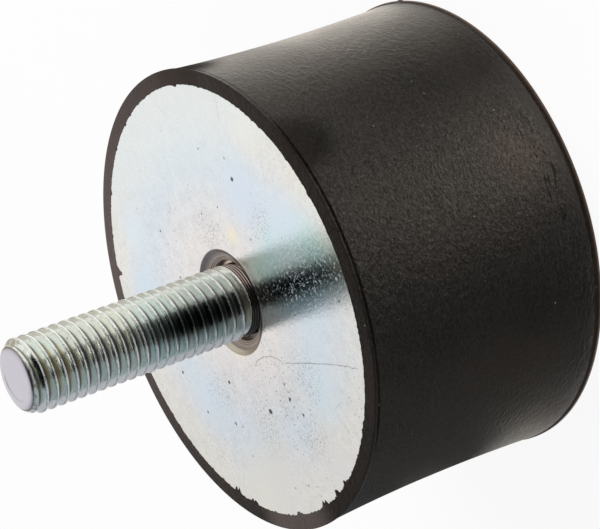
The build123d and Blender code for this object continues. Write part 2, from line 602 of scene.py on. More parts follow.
@dataclass(frozen=True)
class RubberFinish:
    """Black moulded rubber: satin, with a fine wrinkled skin and a little dust."""

    back: float
    front: float
    base: Colour = (0.0100, 0.0087, 0.0073)
    brown: Colour = (0.0165, 0.0122, 0.0096)
    rust: Colour = (0.036, 0.021, 0.016)
    speckle: Colour = (0.026, 0.023, 0.019)
    # Colour of the painted highlight along the back lip's edge.
    edge: Colour = (0.070, 0.042, 0.027)
    dust: Colour = (0.26, 0.25, 0.23)
    fine_dust: Colour = (0.085, 0.080, 0.074)
    # Colour of the painted highlight on the front ring face.
    ring: Colour = (0.112, 0.088, 0.082)
    gloss: Colour = (1.0, 0.925, 0.87)
    specular: float = 0.54
    face_specular: float = 0.02
    roughness: float = 0.30
    swell_height: float = 0.10 * MM
    wrinkle_height: float = 0.13 * MM
    grain_height: float = 0.15 * MM
    crease_depth: float = 0.30 * MM
    near_side: Place = (0.003, -0.037, 0.0)
    rusty_spot: Place = (0.0066, -0.0363, 0.0088)
    creased_spot: Place = (0.0020, -0.0370, 0.0055)
    dull_spot: Place = (0.0190, -0.0320, 0.0405)
    soft_corner: Place = (0.0364, -0.0084, 0.0430)
    highlight_far_side: Span = (0.016, 0.036)
    highlight_left_side: Span = (-0.0365, 0.0030)

    def material(self) -> bpy.types.Material:
        """Makes the material.

        Returns:
            The finished material.
        """
        graph = Graph("black_rubber")
        patches = graph.noise(60.0, 3.0)
        facing = graph.band(graph.away(self.near_side, graph.across()), 9.0 * MM, 25.0 * MM,
                            1.0, 0.30)
        crease = self.creases(graph)
        corner = graph.patch(self.soft_corner, 1.0 * MM, 9.5 * MM)
        graph.feed("Base Color", self.tint(graph, patches))
        graph.feed("Normal", self.relief(graph, facing, crease))
        satin = graph.band(patches, 0.30, 0.75, self.roughness, self.roughness + 0.10)
        graph.feed("Roughness", graph.plus(satin, graph.band(corner, 0.0, 1.0, 0.0, 0.45)))
        graph.set("Specular IOR Level", self.specular)
        graph.feed("Specular IOR Level", self.shine(graph, facing, crease, corner))
        graph.set("Specular Tint", (*self.gloss, 1.0))
        return graph.material

    def tint(self, graph: Graph, patches: Socket) -> Socket:
        """Colours the rubber, with a brown painted highlight along the back lip and a pale
        painted highlight on the front ring.

        Args:
            graph: The material that gets the colour.
            patches: Large soft patches from 0 to 1.

        Returns:
            The colour's socket.
        """
        level = graph.along(Axis.Z)
        tint = graph.mix(graph.band(patches, 0.40, 0.68), self.base, self.brown)
        rusty = graph.patch(self.rusty_spot, 1.0 * MM, 7.5 * MM,
                            graph.warped(170.0, 4.5 * MM))
        tint = graph.mix(rusty, tint, self.rust)
        speckled = graph.band(graph.noise(2600.0, 2.0, 0.7), 0.54, 0.74)
        tint = graph.mix(speckled, tint, self.speckle)
        # Painted highlight: a brown line along the edge of the back lip.
        back_lip_highlight = graph.band(level, self.back + 0.35 * MM, self.back + 0.65 * MM, 0.9, 0.0)
        tint = graph.mix(back_lip_highlight, tint, self.edge)
        tint = graph.mix(graph.specks(850.0, 0.14, 0.035), tint, self.dust)
        tint = graph.mix(graph.specks(2300.0, 0.20, 0.05), tint, self.fine_dust)
        # Painted highlight: the front ring face turns paler in patches along its way round.
        ring = graph.band(level, self.front - 0.25 * MM, self.front - 0.05 * MM)
        return graph.mix(graph.times(ring, self.ring_highlight(graph)), tint, self.ring)

    def ring_highlight(self, graph: Graph) -> Socket:
        """Returns how strong the painted highlight on the front ring is along its way round,
        from 0 to 1.

        Args:
            graph: The rubber's material.

        Returns:
            The paleness's socket.
        """
        away = graph.away((*self.highlight_far_side, self.front))
        paler = graph.times(graph.band(away, 0.0, 0.075, 1.0, 0.07),
                            graph.band(graph.along(Axis.X), -0.030, 0.010, 0.5, 1.0))
        left = graph.patch((*self.highlight_left_side, self.front), 3.0 * MM, 15.0 * MM)
        return graph.most(paler, graph.band(left, 0.0, 1.0, 0.0, 0.95))

    def creases(self, graph: Graph) -> Socket:
        """Returns 1 on the few creases low on the near side and 0 elsewhere.

        Args:
            graph: The rubber's material.

        Returns:
            The creases' socket.
        """
        level = graph.along(Axis.Z)
        strokes = graph.noise(300.0, 2.0, 0.5, graph.stretched((1.0, 1.0, 6.0)))
        here = graph.times(graph.band(level, 2.6 * MM, 4.0 * MM),
                           graph.band(level, 5.6 * MM, 8.0 * MM, 1.0, 0.0),
                           graph.patch(self.creased_spot, 5.0 * MM, 12.0 * MM))
        return graph.times(graph.band(strokes, 0.58, 0.64), here)

    def relief(self, graph: Graph, facing: Socket, crease: Socket) -> Socket:
        """Wrinkles the skin.

        Args:
            graph: The material that gets the relief.
            facing: 1 on the near side, falling off round the block.
            crease: 1 on a crease.

        Returns:
            The normal's socket.
        """
        grain = graph.times(facing, graph.noise(2700.0, 3.0, 0.65,
                                                graph.stretched((1.0, 1.0, 1.2))))
        wrinkles = graph.noise(900.0, 3.0, 0.6, graph.stretched((1.0, 1.0, 1.6)), 0.6)
        wrinkles = graph.times(graph.band(wrinkles, 0.30, 0.72),
                               graph.band(facing, 0.30, 1.0, 0.45, 1.0))
        coarse = graph.bump(graph.noise(95.0, 2.0), self.swell_height)
        middle = graph.bump(wrinkles, self.wrinkle_height, coarse)
        middle = graph.bump(crease, -self.crease_depth, middle)
        return graph.bump(grain, self.grain_height, middle)

    def shine(self, graph: Graph, facing: Socket, crease: Socket, corner: Socket) -> Socket:
        """Says how strongly the skin shines, with fine glints on the near side.

        Args:
            graph: The material that shines.
            facing: 1 on the near side, falling off round the block.
            crease: 1 on a crease.
            corner: 1 on the dull corner of the front rim.

        Returns:
            The strength's socket.
        """
        level = graph.along(Axis.Z)
        shine = graph.band(level, self.front - 0.35 * MM, self.front - 0.02 * MM,
                           self.specular, self.face_specular)
        dull = graph.patch(self.dull_spot, 1.5 * MM, 8.0 * MM, graph.warped(200.0, 2.0 * MM))
        shine = graph.times(shine, graph.band(dull, 0.0, 1.0, 1.0, 0.25),
                            graph.band(corner, 0.0, 1.0, 1.0, 0.06),
                            graph.band(crease, 0.0, 1.0, 1.0, 0.30))
        smooth = graph.times(facing, graph.band(level, 1.2 * MM, 4.5 * MM, 0.2, 1.0))
        glints = graph.noise(2300.0, 3.0, 0.75, graph.stretched((1.0, 1.0, 1.6)), 0.3)
        folds = graph.noise(900.0, 3.0, 0.6, graph.stretched((1.0, 1.0, 2.2)), 0.5)
        folds = graph.size(graph.minus(folds, 0.5))
        spread = graph.plus(graph.band(glints, 0.36, 0.66, -0.46, 0.46),
                            graph.band(folds, 0.0, 0.07, 0.55, -0.20))
        return graph.times(shine, graph.plus(graph.times(spread, smooth), 1.0))


@dataclass(frozen=True)
class ZincFinish:
    """Zinc plating with a clear pass: pale metal with faint cool and warm patches.

    The rings, where there are any, are (radius in mm, colour) from the axis outwards.
    """

    name: str
    base: Colour
    cool: Colour
    warm: Colour
    roughness: float
    grime: float = 1.0
    rings: tuple[tuple[float, Colour], ...] = ()
    mottle: Colour = (0.90, 0.90, 0.90)
    veil: Colour = (0.86, 0.86, 0.85)
    frost: Colour = (0.66, 0.67, 0.665)
    pit: Colour = (0.12, 0.12, 0.115)
    frosted_spot: Place = (0.001, -0.027, 0.0435)
    pit_depth: float = 0.02 * MM
    peel_height: float = 0.022 * MM

    def surface(self) -> tuple[Graph, Socket]:
        """Wires the plated surface.

        Returns:
            The graph, and the colour that is still to be overlaid and fed to the shader.
        """
        graph = Graph(self.name)
        clouds = graph.noise(38.0, 3.0, 0.5, graph.stretched((0.8, 1.0, 1.0), 20.0), 0.5)
        grain = graph.noise(2400.0, 3.0, 0.8)
        near = graph.patch(self.frosted_spot, 4.0 * MM, 15.0 * MM)
        frosted = graph.times(graph.band(grain, 0.55, 0.64, 0.0, self.grime ** 4),
                              graph.band(near, 0.0, 1.0, 0.45, 1.0))
        pits = self.pits(graph)
        tint = graph.mix(frosted, self.weathered(graph, clouds), self.frost)
        graph.feed("Metallic", graph.band(frosted, 0.0, 1.0, 1.0, 0.35))
        graph.feed("Roughness", graph.band(clouds, 0.30, 0.70, self.roughness,
                                           self.roughness + 0.06))
        peel = graph.noise(1900.0, 4.0, 0.75)
        graph.feed("Normal", graph.bump(peel, self.peel_height * self.grime ** 3,
                                        graph.bump(pits, -self.pit_depth)))
        return graph, graph.mix(pits, tint, self.pit)

    def weathered(self, graph: Graph, clouds: Socket) -> Socket:
        """Colours the plating with soft cool and warm patches and a fine mottle.

        Args:
            graph: The material that gets the colour.
            clouds: Large soft patches from 0 to 1.

        Returns:
            The colour's socket.
        """
        haze = graph.noise(34.0, 3.0, 0.55, graph.stretched((0.7, 1.1, 1.0), -35.0), 0.6)
        if self.rings:
            away = graph.off_axis(graph.warped(45.0, 3.5 * MM))
            reach = self.rings[-1][0] * MM
            base = graph.ramp(graph.math(Operation.DIVIDE, away, reach),
                              [(radius * MM / reach, colour) for radius, colour in self.rings])
            tint = graph.mix(graph.band(clouds, 0.50, 0.68, 0.0, 0.35), base, self.cool)
            tint = graph.mix(graph.band(haze, 0.52, 0.70, 0.0, 0.35), tint, self.warm)
        else:
            tint = graph.mix(graph.band(clouds, 0.48, 0.64), self.base, self.cool)
            tint = graph.mix(graph.band(haze, 0.52, 0.68), tint, self.warm)
        mottled = graph.band(graph.noise(480.0, 5.0, 0.75), 0.36, 0.66, 0.0, 0.9 * self.grime)
        tint = graph.mix(mottled, tint, self.mottle, Blend.DARKEN)
        veiled = graph.band(graph.noise(1900.0, 3.0, 0.7), 0.54, 0.68, 0.0, 0.9 * self.grime)
        return graph.mix(veiled, tint, self.veil, Blend.DARKEN)

    def pits(self, graph: Graph) -> Socket:
        """Returns how dark each pit, fine speck and hair scratch is, and 0 between them.

        Args:
            graph: The material that gets them.

        Returns:
            The darkness's socket.
        """
        crowd = graph.band(graph.noise(70.0, 2.0), 0.42, 0.62)
        fine = graph.times(graph.specks(1900.0, 0.30, 0.16), crowd, 0.6)
        spots = graph.most(graph.specks(620.0, 0.17, 0.07), fine)
        return graph.times(graph.most(spots, self.hairlines(graph)), self.grime)

    def hairlines(self, graph: Graph) -> Socket:
        """Draws broken hair scratches.

        Args:
            graph: The material that gets them.

        Returns:
            A value that is above 0 on a scratch.
        """
        cells = graph.node("ShaderNodeTexVoronoi")
        cells.feature = "DISTANCE_TO_EDGE"
        cells.inputs["Scale"].default_value = 110.0
        graph.join(graph.stretched((1.0, 0.55, 1.0), 62.0), cells.inputs["Vector"])
        line = graph.band(cells.outputs["Distance"], 0.004, 0.011, 1.0, 0.0)
        kept = graph.band(graph.noise(130.0, 2.0), 0.60, 0.66, 0.0, 0.30)
        return graph.times(line, kept)


@dataclass(frozen=True)
class StudFinish:
    """Bright zinc on the stud, with dirty roots, a painted highlight along the crests, a painted
    dark reflection and painted shade low on the thread, and a bare collar and tip.
    """

    crest: float
    core: float
    tip: float
    collar: float
    collar_ridge: float
    collar_top: float
    dirt: Colour = (0.15, 0.14, 0.115)
    gilt: Colour = (0.86, 0.72, 0.38)
    worn_shady: Colour = (0.23, 0.235, 0.205)
    worn_sunny: Colour = (0.40, 0.33, 0.22)
    # Colour of the painted highlight along the crests.
    crest_highlight: Colour = (0.90, 0.90, 0.92)
    lower_shade: Colour = (0.86, 0.86, 0.86)
    # Painted reflection: the dark surroundings that the stud reflects, laid low on its near
    # side.
    dark_reflection: Colour = (0.17, 0.18, 0.175)
    copper_groove: Colour = (0.05, 0.037, 0.032)
    copper_ridge: Colour = (0.56, 0.46, 0.40)
    copper_shade: Colour = (0.03, 0.028, 0.026)
    chafed: Colour = (0.40, 0.34, 0.25)
    end: Colour = (0.63, 0.60, 0.66)
    gilt_spot: Place = (-0.0008, -0.0056, 0.0770)
    dark_reflection_spot: Place = (-0.0014, -0.006, 0.0292)
    scuff_height: float = 0.06 * MM

    def material(self) -> bpy.types.Material:
        """Makes the material.

        Returns:
            The finished material.
        """
        graph, tint = ZincFinish("stud_zinc", (0.85, 0.88, 0.82), (0.77, 0.87, 0.84),
                                 (0.87, 0.87, 0.77), 0.15, grime=0.5).surface()
        away = graph.off_axis()
        sunny = graph.band(graph.along(Axis.X), -0.0010, 0.0026)
        # Painted reflection: a dark patch low on the near side of the thread.
        dark_reflection_mask = graph.patch(self.dark_reflection_spot, 1.5 * MM, 7.0 * MM,
                           graph.stretched((2.0, 1.0, 0.55)))
        # Painted highlight: a pale line along the crests, weaker on the shaded side and left out
        # of the painted dark reflection.
        crest_highlight = graph.times(
            graph.band(away, self.crest - 0.055 * MM, self.crest - 0.015 * MM),
            graph.band(graph.noise(1300.0, 3.0), 0.34, 0.56, 0.35, 1.0),
            graph.band(dark_reflection_mask, 0.05, 0.50, 1.0, 0.0), graph.band(sunny, 0.0, 1.0, 1.0, 0.40))
        tint = self.flanks(graph, tint, away, sunny)
        tint = graph.mix(crest_highlight, tint, self.crest_highlight)
        lower = graph.band(graph.along(Axis.Z), 0.046, 0.066, 1.0, 0.0)
        tint = graph.mix(lower, tint, self.lower_shade, Blend.DARKEN)
        # Painted reflection: darkens the thread within that patch.
        tint = graph.mix(dark_reflection_mask, tint, self.dark_reflection, Blend.DARKEN)
        graph.feed("Base Color", self.bare_ends(graph, tint, away))
        graph.feed("Metallic", graph.band(crest_highlight, 0.0, 1.0, 1.0, 0.45))
        graph.feed("Roughness", graph.band(away, self.core + 0.1 * MM, self.core + 0.60 * MM,
                                           0.34, 0.14))
        scuffs = graph.times(graph.noise(1500.0, 4.0, 0.7), graph.band(
            away, self.crest - 0.50 * MM, self.crest - 0.10 * MM))
        graph.feed("Normal", graph.bump(scuffs, self.scuff_height))
        return graph.material

    def flanks(self, graph: Graph, tint: Socket, away: Socket, sunny: Socket) -> Socket:
        """Lays dirt in the roots, gilt on the upper flanks and wear below the crests, the wear
        painted lighter and warmer on the lit side.

        Args:
            graph: The stud's material.
            tint: The clean colour.
            away: Distance from the axis.
            sunny: 1 on the side that the brighter light falls on.

        Returns:
            The colour's socket.
        """
        dirty = graph.band(away, self.core + 0.03 * MM, self.core + 0.17 * MM, 0.88, 0.0)
        tint = graph.mix(dirty, tint, self.dirt)
        gilded = graph.times(
            graph.patch(self.gilt_spot, 0.5 * MM, 5.5 * MM),
            graph.band(away, self.core + 0.16 * MM, self.core + 0.36 * MM, 0.65, 0.0))
        tint = graph.mix(gilded, tint, self.gilt)
        worn = graph.times(
            graph.band(away, self.crest - 0.20 * MM, self.crest - 0.13 * MM),
            graph.band(away, self.crest - 0.10 * MM, self.crest - 0.03 * MM, 0.75, 0.0),
            graph.band(graph.noise(900.0, 3.0), 0.36, 0.60))
        # Painted light: the wear line takes a lit copy of its colour on the sunny side and a
        # shaded copy elsewhere.
        return graph.mix(worn, tint, graph.mix(sunny, self.worn_shady, self.worn_sunny))

    def bare_ends(self, graph: Graph, tint: Socket, away: Socket) -> Socket:
        """Bares the copper collar, the chafed chamfer and the flat end.

        Args:
            graph: The stud's material.
            tint: The thread's colour.
            away: Distance from the axis.

        Returns:
            The colour's socket.
        """
        level = graph.along(Axis.Z)
        ridge = graph.band(away, self.collar - 0.3 * self.collar_ridge,
                           self.collar + 0.7 * self.collar_ridge)
        copper = graph.mix(ridge, self.copper_groove, self.copper_ridge)
        dim = graph.band(graph.along(Axis.X), -0.0015, 0.0035, 0.85, 0.0)
        copper = graph.mix(dim, copper, self.copper_shade)
        collar = graph.band(level, self.collar_top, self.collar_top + 0.1 * MM, 1.0, 0.0)
        tint = graph.mix(collar, tint, copper)
        chafed = graph.times(
            graph.band(level, self.tip - 1.90 * MM, self.tip - 0.70 * MM),
            graph.band(graph.noise(1100.0, 4.0, 0.7), 0.47, 0.58, 0.0, 0.85))
        tint = graph.mix(chafed, tint, self.chafed)
        end = graph.band(level, self.tip - 0.20 * MM, self.tip - 0.14 * MM)
        return graph.mix(end, tint, self.end)


@dataclass(frozen=True)
class IsoThread:
    """A metric screw thread with rolled, slightly rounded crests and roots."""

    pitch: float = 1.75 * MM
    depth: float = 1.07 * MM
    crest: float = 0.13
    root: float = 0.08
    softness: float = 0.10
    rows: int = 24

    def drop(self, phase: np.ndarray) -> np.ndarray:
        """Gives the depth below the crest.

        Args:
            phase: Place within the pitch from 0 to 1, with the crest at 0.

        Returns:
            The depth at each place, in metres.
        """
        away = np.abs((phase + 0.5) % 1.0 - 0.5) * 2
        slope = np.clip((away - self.crest) / (1.0 - self.crest - self.root), 0.0, 1.0)
        return self.depth * ((1.0 - self.softness) * slope + self.softness * eased(slope))

    def phase(self, level: float, angles: np.ndarray) -> np.ndarray:
        """Gives the place within the pitch at each angle of one height.

        Args:
            level: The height.
            angles: The angles round the axis.

        Returns:
            The place in turns, with a crest at each whole number.
        """
        return (level - self.pitch * angles / (2 * math.pi)) / self.pitch


@dataclass
class Stud:
    """The M12 stud: head behind the plate, neck in its hole, thread and chamfered tip.

    A ring of the dish in its end is (distance inwards in mm, share of the depth).
    """

    segments: int = 112
    neck_step: float = 0.3 * MM
    neck_height: float = 1.0 * MM
    head_rounding: float = 0.6 * MM
    head_flat: float = 2.0 * MM
    collar_below_face: float = 0.15 * MM
    collar_step: float = 0.22 * MM
    collar_ridge: float = 0.09 * MM
    collar_pitch: float = 0.44 * MM
    tip_chamfer: float = 1.4 * MM
    tip_round: float = 0.62 * MM
    tip_dish: float = 0.07 * MM
    tip_dish_radius: float = 3.60 * MM
    tip_dish_offset: Span = (0.12 * MM, -0.14 * MM)
    tip_dish_turn: float = math.radians(140.0)
    tip_inset: float = 0.06 * MM
    tip_dish_rings: tuple[Span, ...] = ((-0.05, 0.0), (0.0, 0.0), (0.02, 1.0), (0.07, 1.0))

    def __post_init__(self) -> None:
        """Takes the stud's place and radii from the solid model."""
        self.crest_radius = mount_size("stud", "r_mm")
        self.head_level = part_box("front_stud")[0][2]
        self.tip_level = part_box("front_stud")[1][2]
        self.seat_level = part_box("front_plate")[0][2]
        self.head_radius = node_radius("front_stud")
        self.collar_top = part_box("front_plate")[1][2] - self.collar_below_face
        self.thread = IsoThread()

    def build(self) -> bpy.types.Object:
        """Builds the stud as one closed mesh with a true helical thread.

        Returns:
            The new object.
        """
        surface = RingSurface(self.segments)
        neck_radius = self.crest_radius + self.neck_step
        neck_top = self.seat_level + self.neck_height
        surface.add_outline([(0.0, self.head_level)])
        surface.add_outline(rounded_outline([
            Corner(self.head_radius - self.head_flat, self.head_level),
            Corner(self.head_radius, self.head_level, self.head_rounding),
            Corner(self.head_radius, self.seat_level),
        ]))
        surface.add_outline([(neck_radius, self.seat_level), (neck_radius, neck_top)])
        self.add_thread(surface, neck_top, self.tip_level)
        surface.add(self.crest_radius - self.tip_chamfer - self.tip_round - self.tip_inset,
                    self.tip_level)
        self.add_dish(surface)
        piece = surface.build("stud_thread", Face.OPEN, sharp_degrees=55.0)
        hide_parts("front_stud")
        return piece

    def add_thread(self, surface: RingSurface, low: float, high: float) -> None:
        """Adds the ridged collar's and the thread's rows.

        Args:
            surface: The skin that gets them.
            low: Where the thread starts.
            high: Where the tip ends.
        """
        rows = int(round((high - low) / self.thread.pitch * self.thread.rows))
        for row in range(rows + 1):
            level = low + (high - low) * row / rows
            radius = self.crest_radius - self.thread.drop(
                self.thread.phase(level, surface.angles))
            if level < self.collar_top:
                wave = math.sin(2 * math.pi * (level - self.collar_top) / self.collar_pitch)
                radius = np.full(radius.shape, self.crest_radius - self.collar_step
                                 + self.collar_ridge * wave)
            surface.add(np.minimum(radius, self.tip_limit(high - level)), level)

    def add_dish(self, surface: RingSurface) -> None:
        """Adds the shallow dish in the stud's end, deeper on one side.

        Args:
            surface: The skin that gets it.
        """
        deep_side = (0.5 + 0.5 * np.cos(surface.angles - self.tip_dish_turn)) ** 3
        for inward, share in self.tip_dish_rings:
            surface.add(self.tip_dish_radius - inward * MM,
                        self.tip_level - self.tip_dish * share * deep_side,
                        self.tip_dish_offset)
        surface.add(0.0, self.tip_level - 0.5 * self.tip_dish, self.tip_dish_offset)

    def tip_limit(self, below: float) -> float:
        """Gives how far out the chamfered, rounded tip reaches.

        Args:
            below: Distance below the stud's end.

        Returns:
            The largest radius there.
        """
        chamfer = self.crest_radius - self.tip_chamfer + below
        if below >= self.tip_round:
            return chamfer
        bend = 1.0 - (1.0 - below / self.tip_round) ** 2
        return (self.crest_radius - self.tip_chamfer - self.tip_round
                + 2 * self.tip_round * math.sqrt(bend))

    def dress(self, piece: bpy.types.Object) -> None:
        """Gives the stud its bright zinc finish.

        Args:
            piece: The stud's object.
        """
        finish = StudFinish(self.crest_radius, self.crest_radius - self.thread.depth,
                            self.tip_level, self.crest_radius - self.collar_step,
                            self.collar_ridge, self.collar_top)
        piece.data.materials.append(finish.material())
        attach(piece, BODY)


@dataclass(frozen=True)
class PlateFinish:
    """Pale zinc on the front plate, with stains and dust of its own, teal patches that paint the
    stud's reflection, and a brown recess.

    In mm: the rings are (radius, colour), the stains (x, y, radius, colour), the specks and
    the dust groups (x, y, radius). A hair is part of an arc (x, y, radius), and it shows
    within a spot (x, y, radius).
    """

    face: float
    mouth: float
    rings: tuple[tuple[float, Colour], ...] = (
        (0.0, (0.82, 0.79, 0.77)), (12.0, (0.82, 0.79, 0.775)), (17.0, (0.78, 0.785, 0.80)),
        (21.5, (0.72, 0.78, 0.84)), (24.5, (0.72, 0.785, 0.84)), (28.5, (0.79, 0.79, 0.79)),
        (31.5, (0.82, 0.80, 0.755)), (36.0, (0.82, 0.795, 0.735)),
    )
    stains: tuple[tuple[float, float, float, Colour], ...] = (
        (10.0, -8.0, 2.3, (0.85, 0.79, 0.62)), (15.0, -15.0, 9.0, (0.67, 0.745, 0.84)),
        (9.0, -24.0, 9.0, (0.68, 0.76, 0.84)), (7.0, 26.0, 8.0, (0.66, 0.75, 0.83)),
        (16.0, 23.0, 7.0, (0.71, 0.79, 0.84)), (-13.0, 17.0, 9.0, (0.69, 0.77, 0.84)),
        # Painted reflection: the teal stains at x 3.2 to 3.5 mm, y -12.5 to -28 mm, stand in for
        # the stud's reflection in the plate.
        (-16.0, -17.0, 9.0, (0.68, 0.775, 0.83)), (3.5, -18.0, 8.0, (0.58, 0.80, 0.81)),
        (3.2, -12.5, 5.5, (0.60, 0.78, 0.77)), (3.5, -28.0, 8.0, (0.60, 0.80, 0.80)),
        (-1.0, -22.0, 13.0, (0.66, 0.76, 0.82)), (-31.0, 10.0, 10.0, (0.78, 0.77, 0.70)),
        (24.0, -22.0, 6.0, (0.84, 0.81, 0.74)), (-6.9, 3.0, 3.6, (0.86, 0.81, 0.68)),
        (-27.0, 3.0, 12.0, (0.755, 0.745, 0.72)), (-29.0, -14.0, 9.0, (0.76, 0.75, 0.73)),
    )
    specks: tuple[Place, ...] = (
        (-18.1, -0.5, 0.62), (-11.9, 9.2, 0.50), (-17.0, -7.6, 0.42), (-19.8, -9.9, 0.38),
        (-8.3, 23.2, 0.40), (-15.6, 19.5, 0.34), (-18.6, 11.8, 0.32), (17.5, -13.6, 0.50),
        (23.9, -6.8, 0.30),
    )
    dust_groups: tuple[Place, ...] = (
        (-14.4, -13.7, 5.0), (-12.6, 12.6, 4.5), (-20.3, 2.3, 5.0), (-17.2, -6.9, 4.0),
        (-24.0, -11.0, 4.5), (12.2, -1.4, 4.0), (9.6, -17.4, 3.5), (2.0, -29.5, 4.5),
    )
    hairs: tuple[tuple[Place, Place], ...] = (
        ((-17.7, -4.4, 8.05), (-9.6, -5.2, 4.9)),
        ((-160.6, 6.9, 150.0), (-13.0, -20.0, 10.5)),
    )
    speck: Colour = (0.035, 0.035, 0.035)
    grit: Colour = (0.16, 0.17, 0.17)
    powder: Colour = (0.22, 0.23, 0.23)
    scratch: Colour = (0.24, 0.22, 0.21)
    # Colour of the painted sky reflection towards +X.
    sky_reflection: Colour = (0.77, 0.82, 0.825)
    left_shade: Colour = (0.86, 0.86, 0.865)
    recess_foot: Colour = (0.35, 0.29, 0.25)
    recess_wall: Colour = (0.33, 0.285, 0.26)
    # Colour of the painted highlight on the recess wall.
    recess_highlight: Colour = (0.56, 0.50, 0.42)

    def material(self) -> bpy.types.Material:
        """Makes the material.

        Returns:
            The finished material.
        """
        graph, clean = ZincFinish("front_plate_zinc", (0.78, 0.80, 0.81), (0.71, 0.78, 0.84),
                                  (0.83, 0.80, 0.72), 0.12, rings=self.rings).surface()
        away, along = graph.off_axis(), graph.along(Axis.X)
        tint = self.marked(graph, clean)
        # Painted reflection: a pale blue tint towards +X. Painted shade: the plate darker
        # towards -X.
        tint = graph.mix(graph.band(along, 0.014, 0.030, 0.0, 0.65), tint, self.sky_reflection)
        tint = graph.mix(graph.band(along, -0.026, 0.016, 1.0, 0.0), tint, self.left_shade,
                         Blend.DARKEN)
        recess = graph.band(away, self.mouth, self.mouth + 0.08 * MM, 1.0, 0.0)
        graph.feed("Base Color", graph.mix(recess, tint, self.recess(graph, away, along)))
        graph.feed("Roughness", graph.band(away, self.mouth - 0.05 * MM,
                                           self.mouth + 0.05 * MM, 0.36, 0.12))
        return graph.material

    def recess(self, graph: Graph, away: Socket, along: Socket) -> Socket:
        """Colours the recess, with a warm painted highlight on its wall at the left.

        Args:
            graph: The plate's material.
            away: Distance from the axis.
            along: Place along X.

        Returns:
            The colour's socket.
        """
        wall = graph.band(away, self.mouth - 1.4 * MM, self.mouth - 0.7 * MM)
        # Painted highlight: the lit side of the recess wall.
        glow = graph.times(
            graph.band(away, self.mouth - 0.75 * MM, self.mouth - 0.60 * MM),
            graph.band(along, -0.001, -0.005))
        return graph.mix(glow, graph.mix(wall, self.recess_foot, self.recess_wall),
                         self.recess_highlight)

    def marked(self, graph: Graph, tint: Socket) -> Socket:
        """Lays the plate's stains, specks, dust and hair scratches over its tint; a few teal
        stains are a painted reflection of the stud.

        Args:
            graph: The plate's material.
            tint: The clean colour.

        Returns:
            The marked colour's socket.
        """
        rough = graph.warped(900.0, 0.35 * MM)
        soft = graph.warped(120.0, 3.0 * MM)
        for x, y, reach, colour in self.stains:
            stain = graph.patch(self.spot(x, y), 0.0, reach * MM, soft)
            tint = graph.mix(stain, tint, colour)
        for x, y, size in self.specks:
            speck = graph.patch(self.spot(x, y), 0.45 * size * MM, size * MM, rough)
            tint = graph.mix(speck, tint, self.speck)
        tint = self.dusted(graph, tint, soft)
        for (x, y, radius), (near_x, near_y, reach) in self.hairs:
            off = graph.minus(graph.away(self.spot(x, y), rough), radius * MM)
            line = graph.band(graph.size(off), 0.04 * MM, 0.11 * MM, 1.0, 0.0)
            here = graph.patch(self.spot(near_x, near_y), 0.9 * reach * MM, reach * MM)
            tint = graph.mix(graph.times(line, here, 0.7), tint, self.scratch)
        return tint

    def dusted(self, graph: Graph, tint: Socket, soft: Socket) -> Socket:
        """Lays grit on the left of the plate and powder in its dust groups.

        Args:
            graph: The plate's material.
            tint: The stained colour.
            soft: Softly warped coordinates.

        Returns:
            The dusty colour's socket.
        """
        crowd = graph.patch((-0.018, -0.006, self.face), 3.0 * MM, 15.0 * MM, soft)
        grit = graph.times(graph.specks(1250.0, 0.26, 0.30), crowd, 0.75)
        tint = graph.mix(grit, tint, self.grit)
        groups = [graph.patch(self.spot(x, y), 0.0, 1.6 * reach * MM, soft)
                  for x, y, reach in self.dust_groups]
        gathered = groups[0]
        for group in groups[1:]:
            gathered = graph.most(gathered, group)
        flecks = graph.noise(2300.0, 4.0, 0.75, graph.warped(500.0, 0.6 * MM))
        powder = graph.times(graph.band(flecks, 0.525, 0.585),
                             graph.band(gathered, 0.0, 1.0, 0.0, 0.52))
        return graph.mix(powder, tint, self.powder)

    def spot(self, x: float, y: float) -> Place:
        """Returns the point of the front face at that place in mm."""
        return (x * MM, y * MM, self.face)


